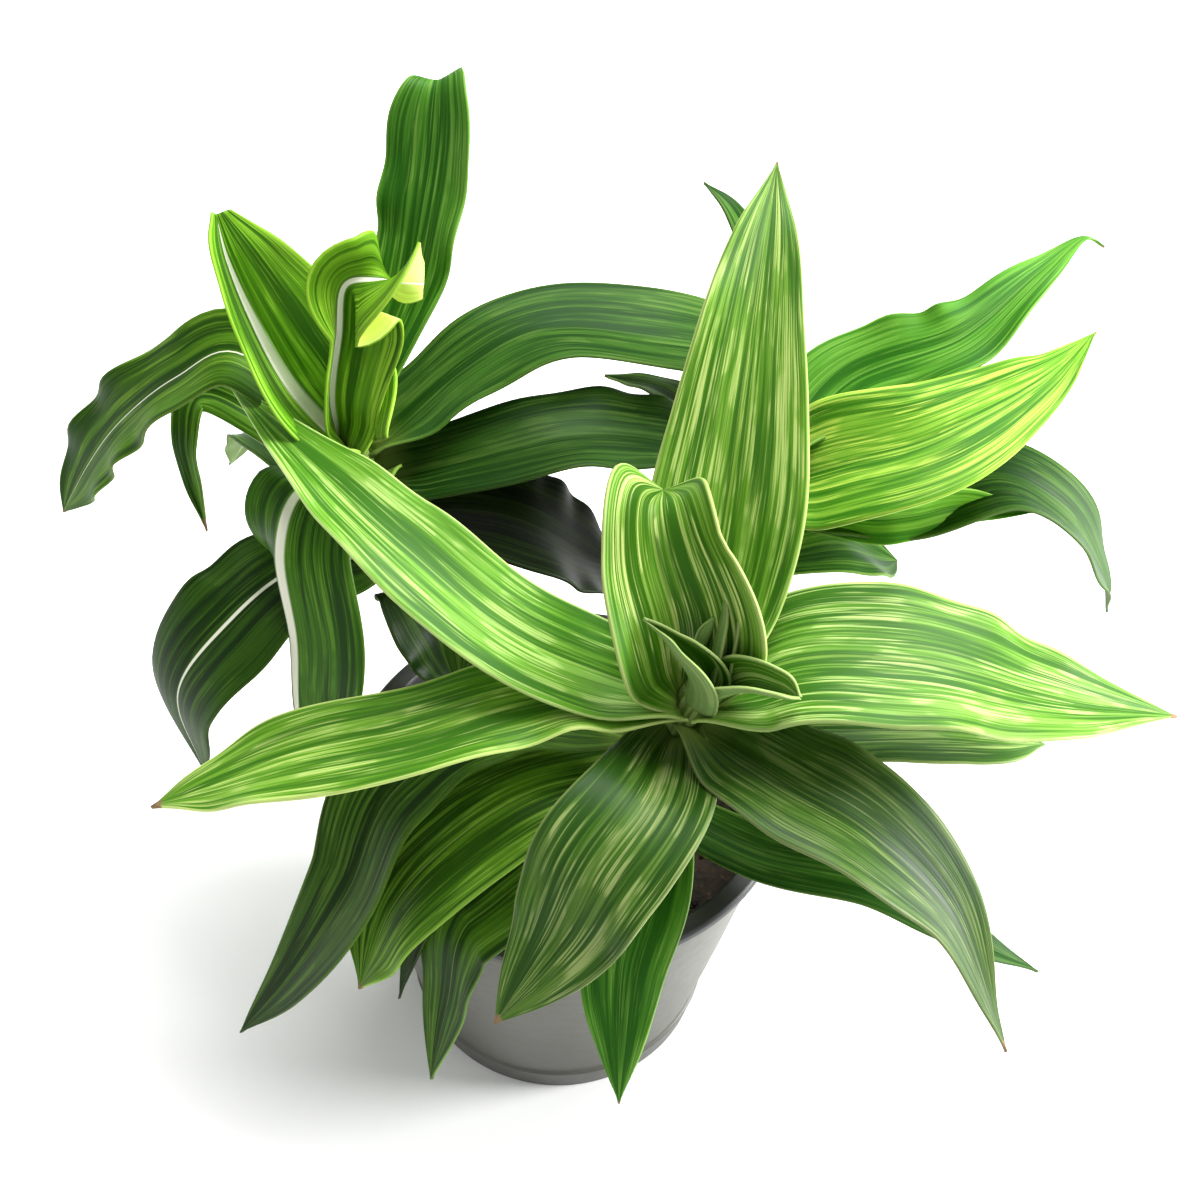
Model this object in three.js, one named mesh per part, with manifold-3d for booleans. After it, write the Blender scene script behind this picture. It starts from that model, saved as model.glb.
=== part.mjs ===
// Potted callisia: three leafy shoots in a black liner pot that stands in a grey outer pot.
// Millimetres, +Z up. The origin is the centre of the outer pot's underside.

import * as THREE from "three";
import { mergeVertices } from "three/addons/utils/BufferGeometryUtils.js";
import Module from "manifold-3d";

// ---- Pots and soil ----
const GAP = 0.3; // clearance between pieces that touch
const ROUND_SIDES = 48; // sides of a turned piece

const POT = { footRadius: 46, footHeight: 9.5, footStep: 0.7, rimRadius: 63.5, height: 101, wall: 2, floor: 3 };
const LINER = { rimRadius: 65.2, rimThickness: 3, wall: 1.2, floor: 1.4, clearance: 1.5, shiftX: 0.8 };
const SOIL = { top: 86, mound: 3, holeDepth: 12 };

// ---- Shoots: foot on the soil and crown, with the radius of the stem ----
const SHOOTS = {
  front: { foot: [14, -2], crown: [35, -22, 172], radius: 5.5 },
  left: { foot: [-22, 12], crown: [-66, 58, 182], radius: 4.5 },
  back: { foot: [22, 24], crown: [60, 70, 178], radius: 4.5 },
};
const STEM_SIDES = 10;
const STEM_TAPER = 0.8; // crown radius over foot radius

// ---- Leaves ----
const LEAF_THICKNESS = 1.2;
const LEAF_STATIONS = 12; // steps along a leaf
const LEAF_SIDES = 4; // a leaf's section is a flat rhombus, folded along its midrib

// Width of a leaf from its base to its tip, as parts of its greatest width.
const OUTLINES = {
  lance: [0.5, 0.8, 0.97, 1, 0.84, 0.5, 0],
  spear: [0.55, 0.9, 1, 0.86, 0.66, 0.42, 0],
  taper: [0.6, 0.92, 1, 0.9, 0.6, 0.28, 0],
  strap: [0.5, 0.78, 0.95, 1, 0.98, 0.8, 0],
  spoon: [0.4, 0.8, 1, 1, 0.9, 0.65, 0],
  blunt: [0.4, 0.62, 0.8, 0.94, 1, 0.93, 0.2],
  tongue: [0.62, 0.7, 0.82, 0.95, 1, 0.96, 0.3],
  clasp: [0.78, 0.98, 1, 0.92, 0.7, 0.34, 0],
  shield: [0.85, 1, 0.98, 0.82, 0.54, 0.24, 0],
  stub: [0.7, 0.95, 1, 0.92, 0.76, 0.54, 0.15],
  oar: [0.75, 0.84, 0.95, 1, 0.96, 0.7, 0],
};

// Each leaf: name, shoot, height where it leaves the stem, points its midrib runs through, greatest
// width, outline, fold (degrees the left and right halves are raised) and, where it has one, roll
// (degrees the right edge is lifted, from base to tip).
const LEAVES = [
  ["front_leaf_upright", "front", 168, [[41, 20, 208], [45, 56, 240], [50, 95, 256]], 42, "spear", [10, 10]],
  ["front_leaf_left_long", "front", 160,
    [[0, -27, 172], [-37, -38, 168], [-71, -40, 156], [-109, -44, 138]], 29, "oar", [10, 10]],
  ["front_leaf_back_left", "front", 165,
    [[-12, -18, 184], [-45, 2, 196], [-76, 36, 196], [-102, 70, 188]], 31, "clasp", [12, 12]],
  ["front_leaf_heart", "front", 168,
    [[28, -18, 190], [22, -8, 205], [20, 3, 213], [23, 15, 208]], 44, "spoon", [38, 46], [-4, -4]],
  ["front_leaf_young", "front", 172, [[40, -18, 186], [41, -14, 198], [38, -10, 206]], 18, "spoon", [50, 50]],
  ["front_leaf_curled", "front", 171,
    [[31, -27, 186], [25, -26, 196], [19, -24, 201]], 22, "taper", [50, 50], [25, 25]],
  ["front_leaf_bud", "front", 171, [[35, -21, 186], [37, -19, 197]], 8, "spoon", [30, 30]],
  ["front_leaf_spoon", "front", 170,
    [[46, -30, 184], [53, -33, 187], [60, -34, 185]], 18, "spoon", [40, 40], [-20, -20]],
  ["front_leaf_right_broad", "front", 164,
    [[61, -17, 180], [90, -20, 185], [124, -22, 178], [165, -13, 160]], 46, "clasp", [5, 5]],
  ["front_leaf_right_drooping", "front", 156,
    [[60, -43, 160], [81, -55, 157], [103, -65, 138], [122, -85, 104]], 38, "taper", [12, 12]],
  ["front_leaf_near_drooping", "front", 152,
    [[23, -50, 160], [11, -67, 152], [2, -77, 135], [-14, -89, 112]], 37, "lance", [12, 12]],
  ["front_leaf_plain", "front", 134, [[24, -53, 128], [19, -71, 112], [20, -94, 82]], 26, "lance", [12, 12]],
  ["front_leaf_right_under", "front", 146,
    [[86, -17, 153], [114, -14, 149], [134, -9, 140]], 25, "strap", [12, 12]],
  ["front_leaf_right_low", "front", 110,
    [[56, -36, 118], [86, -44, 120], [112, -53, 110], [135, -56, 98]], 20, "lance", [12, 12]],
  ["front_leaf_torn", "front", 128,
    [[-6, -29, 134], [-29, -44, 128], [-44, -54, 112], [-54, -64, 84]], 39, "oar", [12, 12]],
  ["front_leaf_left_narrow", "front", 120,
    [[-15, -53, 116], [-25, -61, 110], [-29, -69, 88], [-33, -79, 62]], 29, "lance", [12, 12]],
  ["front_leaf_left_small", "front", 112,
    [[-28, -44, 116], [-37, -56, 106], [-43, -64, 80]], 12, "lance", [12, 12]],
  ["front_leaf_left_low", "front", 140,
    [[-15, -12, 142], [-46, -30, 132], [-57, -50, 112], [-72, -60, 86], [-90, -65, 58]],
    34, "lance", [12, 12]],
  ["left_leaf_wavy", "left", 172,
    [[-96, 71, 198], [-117, 72, 188], [-142, 78, 160], [-166, 86, 116]], 26, "strap", [12, 12], [0, 60]],
  ["left_leaf_folded_up", "left", 178,
    [[-82, 61, 196], [-92, 68, 214], [-99, 76, 228], [-103, 86, 236]], 48, "stub", [88, 12], [42, 42]],
  ["left_leaf_folded_over", "left", 182,
    [[-70, 57, 198], [-68, 63, 214], [-66, 69, 227], [-57, 70, 229], [-45, 74, 225]],
    32, "tongue", [84, 14], [-50, 0]],
  ["left_leaf_tall", "left", 184,
    [[-51, 84, 215], [-46, 97, 240], [-44, 112, 262], [-44, 123, 258]], 26, "blunt", [14, 14]],
  ["left_leaf_right_arching", "left", 175,
    [[-33, 77, 193], [-8, 89, 199], [28, 94, 193], [72, 109, 172]], 36, "oar", [12, 12], [0, -10]],
  ["left_leaf_right_dark", "left", 169,
    [[-28, 52, 182], [0, 58, 186], [29, 67, 178], [51, 84, 160]], 32, "oar", [12, 12]],
  ["left_leaf_inner_dark", "left", 161, [[-31, 50, 162], [-11, 49, 156], [14, 59, 130]], 40, "oar", [12, 12]],
  ["left_leaf_outer_drooping", "left", 148,
    [[-78, 32, 154], [-96, 14, 150], [-112, 6, 126], [-108, 2, 94]], 38, "oar", [0, 0], [4, 4]],
  ["left_leaf_near_drooping", "left", 170,
    [[-76, 32, 184], [-80, 16, 177], [-77, 5, 154], [-77, 0, 128], [-75, -3, 102]],
    38, "oar", [12, -55], [10, 6]],
  ["left_leaf_twisted", "left", 163,
    [[-110, 83, 172], [-119, 76, 160], [-116, 71, 126]], 12, "lance", [12, 12], [0, 60]],
  ["left_leaf_under", "left", 146, [[-83, 31, 142], [-93, 29, 112]], 16, "lance", [12, 12]],
  ["left_leaf_inner_low", "left", 138, [[-50, 36, 142], [-41, 28, 134], [-33, 23, 112]], 26, "lance", [12, 12]],
  ["left_leaf_short", "left", 166, [[-92, 87, 168], [-113, 92, 158]], 12, "lance", [12, 12], [-40, -40]],
  ["left_leaf_rear_low", "left", 152, [[-62, 92, 152], [-64, 118, 128], [-62, 132, 96]], 28, "lance", [12, 12]],
  ["left_leaf_rear_outer", "left", 150, [[-98, 96, 146], [-118, 116, 112]], 24, "lance", [12, 12]],
  ["back_leaf_upper_right", "back", 172,
    [[79, 89, 185], [109, 93, 200], [133, 114, 209], [148, 132, 209], [156, 134, 205]],
    30, "shield", [12, 12]],
  ["back_leaf_pale", "back", 166,
    [[75, 58, 180], [102, 61, 189], [132, 81, 195], [153, 109, 192]], 40, "shield", [12, 12]],
  ["back_leaf_right_drooping", "back", 158,
    [[96, 58, 165], [124, 66, 170], [147, 69, 154], [164, 70, 128], [169, 69, 112]],
    31, "oar", [12, 12], [0, -25]],
  ["back_leaf_edge_on", "back", 160,
    [[82, 49, 168], [96, 49, 170], [112, 54, 170], [134, 59, 164]], 15, "lance", [12, 12], [-60, -60]],
  ["back_leaf_olive", "back", 142, [[78, 61, 144], [100, 71, 128]], 28, "oar", [12, 12]],
  ["back_leaf_curled_tip", "back", 178, [[51, 81, 220], [40, 92, 240], [31, 101, 244]], 14, "lance", [12, 12]],
  ["back_leaf_left_dark", "back", 170, [[50, 110, 190], [31, 117, 188]], 16, "lance", [12, 12]],
  ["back_leaf_left_low", "back", 160, [[29, 94, 170], [6, 115, 160]], 14, "lance", [12, 12]],
  ["back_leaf_rear_left", "back", 148, [[44, 104, 152], [30, 128, 132], [20, 140, 104]], 28, "lance", [12, 12]],
  ["back_leaf_rear_right", "back", 145,
    [[78, 104, 148], [92, 132, 126], [96, 146, 98]], 28, "lance", [12, 12]],
];
const LEVEL = [0, 0]; // a leaf without roll

const ROUGHNESS = { pot: 0.45, liner: 0.5, soil: 1, stem: 0.6, leaf: 0.45 };
const COLOURS = {
  pot: 0xa9abae,
  liner: 0x15161a,
  soil: 0x241a12,
  stem: 0x9db36a,
  front: 0x6f9e35,
  left: 0x35692a,
  back: 0x4d8132,
};

const WELD = 1e-3; // points closer than this are one
const TINY = 1e-6; // keeps a division from meeting zero

const wasm = await Module();
wasm.setup();

// ---- Solids and meshes ----

function solidOf(geometry) {
  const bare = geometry.clone();
  bare.deleteAttribute("normal");
  bare.deleteAttribute("uv");
  const merged = mergeVertices(bare, WELD);
  const vertProperties = new Float32Array(merged.attributes.position.array);
  const triVerts = new Uint32Array(merged.index.array);
  return new wasm.Manifold(new wasm.Mesh({ numProp: 3, vertProperties, triVerts }));
}

function geometryOf(solid) {
  const mesh = solid.getMesh();
  const geometry = new THREE.BufferGeometry();
  geometry.setAttribute("position", new THREE.BufferAttribute(mesh.vertProperties, 3));
  geometry.setIndex(new THREE.BufferAttribute(mesh.triVerts, 1));
  return geometry;
}

// A cut can leave slivers beside a leaf: only its blade is kept.
function largestPiece(solid) {
  return solid.decompose().reduce((best, piece) => (piece.volume() > best.volume() ? piece : best));
}

function meshOf(name, geometry, colour, roughness) {
  geometry.computeVertexNormals();
  const material = new THREE.MeshStandardMaterial({ color: colour, roughness, metalness: 0 });
  const mesh = new THREE.Mesh(geometry, material);
  mesh.name = name;
  return mesh;
}

// A closed profile of [radius, height] points turned about the Z axis.
function turned(profile) {
  const points = profile.map(([radius, height]) => new THREE.Vector2(radius, height));
  return new THREE.LatheGeometry(points, ROUND_SIDES).rotateX(Math.PI / 2);
}

// ---- Pots and soil ----

const potSlope = (POT.rimRadius - POT.footRadius) / POT.height;
const potOuterRadius = (z) => POT.footRadius + potSlope * z;
const potInnerRadius = (z) => potOuterRadius(z) - POT.wall;
const linerFloorZ = POT.floor + GAP;
const linerRimZ = POT.height + GAP;
const linerOuterRadius = (z) => potInnerRadius(z) - LINER.clearance;
const linerInnerRadius = (z) => linerOuterRadius(z) - LINER.wall;

function outerPotGeometry() {
  return turned([
    [0, 0],
    [POT.footRadius, 0],
    [potOuterRadius(POT.footHeight), POT.footHeight],
    [potOuterRadius(POT.footHeight) - POT.footStep, POT.footHeight + POT.footStep],
    [POT.rimRadius, POT.height],
    [POT.rimRadius - POT.wall, POT.height],
    [potInnerRadius(POT.floor), POT.floor],
    [0, POT.floor],
  ]);
}

function linerPotGeometry() {
  const topZ = linerRimZ + LINER.rimThickness;
  const soilFloorZ = linerFloorZ + LINER.floor;
  return turned([
    [0, linerFloorZ],
    [linerOuterRadius(linerFloorZ), linerFloorZ],
    [linerOuterRadius(linerRimZ), linerRimZ],
    [LINER.rimRadius, linerRimZ],
    [LINER.rimRadius, topZ],
    [linerInnerRadius(topZ), topZ],
    [linerInnerRadius(soilFloorZ), soilFloorZ],
    [0, soilFloorZ],
  ]).translate(LINER.shiftX, 0, 0);
}

function soilGeometry() {
  const bottomZ = linerFloorZ + LINER.floor + GAP;
  const shoulderZ = SOIL.top - SOIL.mound;
  const topRadius = linerInnerRadius(shoulderZ) - GAP;
  const bed = turned([
    [0, bottomZ],
    [linerInnerRadius(bottomZ) - GAP, bottomZ],
    [topRadius, shoulderZ],
    [topRadius / 2, SOIL.top],
    [0, SOIL.top],
  ]).translate(LINER.shiftX, 0, 0);
  let soil = solidOf(bed);
  for (const shoot of Object.values(SHOOTS)) {
    soil = soil.subtract(stemSolid(shoot, GAP));
  }
  return geometryOf(soil);
}

// ---- Stems ----

const stemFoot = ({ foot }) => new THREE.Vector3(foot[0], foot[1], SOIL.top - SOIL.holeDepth);
const stemCrown = ({ crown }) => new THREE.Vector3(...crown);

function stemPoint(shoot, height) {
  const foot = stemFoot(shoot);
  const crown = stemCrown(shoot);
  return foot.clone().lerp(crown, (height - foot.z) / (crown.z - foot.z));
}

function stemSolid(shoot, margin) {
  const foot = stemFoot(shoot);
  const crown = stemCrown(shoot);
  const axis = crown.clone().sub(foot);
  const length = axis.length() + 2 * margin;
  const crownRadius = shoot.radius * STEM_TAPER + margin;
  const stem = new THREE.CylinderGeometry(crownRadius, shoot.radius + margin, length, STEM_SIDES);
  const turn = new THREE.Quaternion().setFromUnitVectors(new THREE.Vector3(0, 1, 0), axis.normalize());
  const middle = foot.clone().lerp(crown, 0.5);
  stem.applyMatrix4(new THREE.Matrix4().compose(middle, turn, new THREE.Vector3(1, 1, 1)));
  return solidOf(stem);
}

// ---- Leaves ----

// The midrib starts on the stem's side, at the leaf's height, and runs through its points.
function midribOf(shoot, height, through) {
  const centre = stemPoint(shoot, height);
  const points = through.map((point) => new THREE.Vector3(...point));
  const outward = points[0].clone().sub(centre).setZ(0).normalize();
  const base = centre.addScaledVector(outward, shoot.radius + GAP);
  return new THREE.CatmullRomCurve3([base, ...points], false, "catmullrom", 0.5);
}

function outlineWidth(outline, t) {
  const steps = OUTLINES[outline];
  const curve = new THREE.SplineCurve(steps.map((part, i) => new THREE.Vector2(i, part)));
  return Math.max(0, curve.getPoint(t).y);
}

// Frames along the midrib: the side vector starts level and is carried along without twisting.
function leafFrames(midrib, roll) {
  const start = midrib.getPoint(0);
  const end = midrib.getPoint(1);
  const side = new THREE.Vector3(end.y - start.y, start.x - end.x, 0).normalize();
  const frames = [];
  for (let i = 0; i <= LEAF_STATIONS; i++) {
    const t = i / LEAF_STATIONS;
    const tangent = midrib.getTangentAt(t);
    side.addScaledVector(tangent, -side.dot(tangent)).normalize();
    const turn = THREE.MathUtils.degToRad(THREE.MathUtils.lerp(roll[0], roll[1], t));
    const rolled = side.clone().applyAxisAngle(tangent, -turn);
    const up = rolled.clone().cross(tangent);
    frames.push({ point: midrib.getPointAt(t), side: rolled, up });
  }
  return frames;
}

// A cone with as many rings as the leaf has stations is reshaped: each ring becomes the folded section
// of the leaf, with its left and right edges and its midrib above and below.
function leafSolid([, shootName, height, through, width, outline, fold, roll = LEVEL], margin) {
  const shoot = SHOOTS[shootName];
  const frames = leafFrames(midribOf(shoot, height, through), roll);
  const blade = new THREE.ConeGeometry(1, 1, LEAF_SIDES, LEAF_STATIONS);
  const ring = blade.attributes.position;
  const [leftFold, rightFold] = fold.map(THREE.MathUtils.degToRad);
  for (let i = 0; i < ring.count; i++) {
    const t = ring.getY(i) + 0.5;
    const station = Math.round(t * LEAF_STATIONS);
    const { point, side, up } = frames[station];
    const reach = Math.max(1 - t, TINY);
    const across = ring.getX(i) / reach;
    const above = ring.getZ(i) / reach;
    const raised = across < 0 ? leftFold : rightFold;
    const half = t < 1 ? (outlineWidth(outline, t) * width) / 2 + margin : 0;
    const thick = LEAF_THICKNESS / 2 + margin;
    const place = point.clone();
    place.addScaledVector(side, across * half * Math.cos(raised));
    place.addScaledVector(up, Math.abs(across) * half * Math.sin(raised) + (t < 1 ? above * thick : 0));
    ring.setXYZ(i, place.x, place.y, place.z);
  }
  return solidOf(blade);
}

// ---- The plant ----

const plant = new THREE.Group();
plant.add(meshOf("outer_pot", outerPotGeometry(), COLOURS.pot, ROUGHNESS.pot));
plant.add(meshOf("liner_pot", linerPotGeometry(), COLOURS.liner, ROUGHNESS.liner));
plant.add(meshOf("soil", soilGeometry(), COLOURS.soil, ROUGHNESS.soil));

const placed = [];
for (const [name, shoot] of Object.entries(SHOOTS)) {
  plant.add(meshOf(`${name}_stem`, geometryOf(stemSolid(shoot, 0)), COLOURS.stem, ROUGHNESS.stem));
  placed.push(stemSolid(shoot, GAP));
}

// Where two leaves meet, the later one is cut back from the earlier one.
for (const leaf of LEAVES) {
  let blade = leafSolid(leaf, 0);
  for (const other of placed) {
    blade = blade.subtract(other);
  }
  plant.add(meshOf(leaf[0], geometryOf(largestPiece(blade)), COLOURS[leaf[1]], ROUGHNESS.leaf));
  placed.push(leafSolid(leaf, GAP));
}

export default plant;
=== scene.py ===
"""A potted callisia: three leafy shoots in a black liner pot that stands in a grey outer pot.

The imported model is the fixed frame. Every leaf, stem, pot and the soil is modelled here around it, in
metres, with the same place and size as the solid that it stands for.
"""

import math

import bpy
import numpy as np
from mathutils import Matrix, Vector, noise


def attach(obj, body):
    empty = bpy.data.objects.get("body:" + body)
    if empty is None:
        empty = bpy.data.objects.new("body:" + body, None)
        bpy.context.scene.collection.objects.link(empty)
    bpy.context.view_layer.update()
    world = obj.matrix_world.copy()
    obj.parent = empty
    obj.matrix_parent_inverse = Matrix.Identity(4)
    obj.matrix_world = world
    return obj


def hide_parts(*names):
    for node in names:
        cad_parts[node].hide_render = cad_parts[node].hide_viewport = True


bl_info = {
    "name": "Potted Callisia",
    "version": (1, 0, 0),
    "blender": (4, 5, 0),
    "location": "3D View > Sidebar > Callisia",
    "description": "Builds a potted callisia with striped leaves, stems, soil and two pots",
    "category": "Add Mesh",
}

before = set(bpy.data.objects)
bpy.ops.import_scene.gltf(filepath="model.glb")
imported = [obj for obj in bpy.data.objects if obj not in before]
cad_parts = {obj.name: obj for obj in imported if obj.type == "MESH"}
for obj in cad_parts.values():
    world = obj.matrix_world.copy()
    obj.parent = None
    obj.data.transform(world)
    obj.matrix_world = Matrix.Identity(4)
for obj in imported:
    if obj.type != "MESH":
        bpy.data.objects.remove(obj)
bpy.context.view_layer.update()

MM = 0.001
ROOT = "root"

# ---- The shoots and leaves, in millimetres, as the solids are placed ----

SOIL_TOP = 86
STEM_FOOT_Z = 74
STEM_TAPER = 0.8
SHOOTS = {
    "front": {"foot": (14, -2, STEM_FOOT_Z), "crown": (35, -22, 172), "radius": 5.5},
    "left": {"foot": (-22, 12, STEM_FOOT_Z), "crown": (-66, 58, 182), "radius": 4.5},
    "back": {"foot": (22, 24, STEM_FOOT_Z), "crown": (60, 70, 178), "radius": 4.5},
}

# Width of a leaf from its base to its tip, as parts of its greatest width.
OUTLINES = {
    "lance": (0.5, 0.8, 0.97, 1, 0.84, 0.5, 0),
    "spear": (0.55, 0.9, 1, 0.86, 0.66, 0.42, 0),
    "taper": (0.6, 0.92, 1, 0.9, 0.6, 0.28, 0),
    "strap": (0.5, 0.78, 0.95, 1, 0.98, 0.8, 0),
    "spoon": (0.4, 0.8, 1, 1, 0.9, 0.65, 0),
    "blunt": (0.4, 0.62, 0.8, 0.94, 1, 0.93, 0.2),
    "tongue": (0.62, 0.7, 0.82, 0.95, 1, 0.96, 0.3),
    "clasp": (0.78, 0.98, 1, 0.92, 0.7, 0.34, 0),
    "shield": (0.85, 1, 0.98, 0.82, 0.54, 0.24, 0),
    "stub": (0.7, 0.95, 1, 0.92, 0.76, 0.54, 0.15),
    "oar": (0.75, 0.84, 0.95, 1, 0.96, 0.7, 0),
}

# A leaf's midrib runs from its stem, where the stem reaches the given height, through the given
# points, in millimetres. Seen from its base with its upper face up, its halves leave the midrib
# folded up by fold degrees and turn up by cup degrees more on the way to the margin. fold_left and
# cup_left are for a left half that differs. Roll raises the right margin. Each of these may be one
# number or several that the leaf takes evenly from base to tip. hem turns the outer part of the
# right half over, in degrees, and lean is the right half's share of the width.
# The rest are its finish: light is its lightness, partly the leaf's own tone and partly painted light
# and shade, raised on leaves that the lamps leave too dark and lowered on leaves in the shade of others;
# warm how far it leans to yellow, streaks how much of it is in pale streaks, ripple and waves the height
# and number of the ripples in its margins, rib the half width of its midrib stripe as a part of the
# blade's, and dry the dry part at its tip.


def leaf(node, height, through, width, outline="lance", fold=12, roll=0, look="plain", **more):
    figures = {
        "light": 1.0, "ripple": 0.8, "waves": 3.0, "cup": 0, "rib": 0.03, "dry": 0.0,
        "hem": 0, "lean": 0.5, "streaks": 1.0, "warm": 0.0,
        "fold_left": fold, "cup_left": more.get("cup", 0),
    }
    figures.update(more)
    return {
        "node": node,
        "shoot": node.split("_")[0],
        "height": height,
        "through": through,
        "width": width,
        "outline": outline,
        "fold": fold,
        "roll": roll,
        "look": look,
        **figures,
    }


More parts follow.
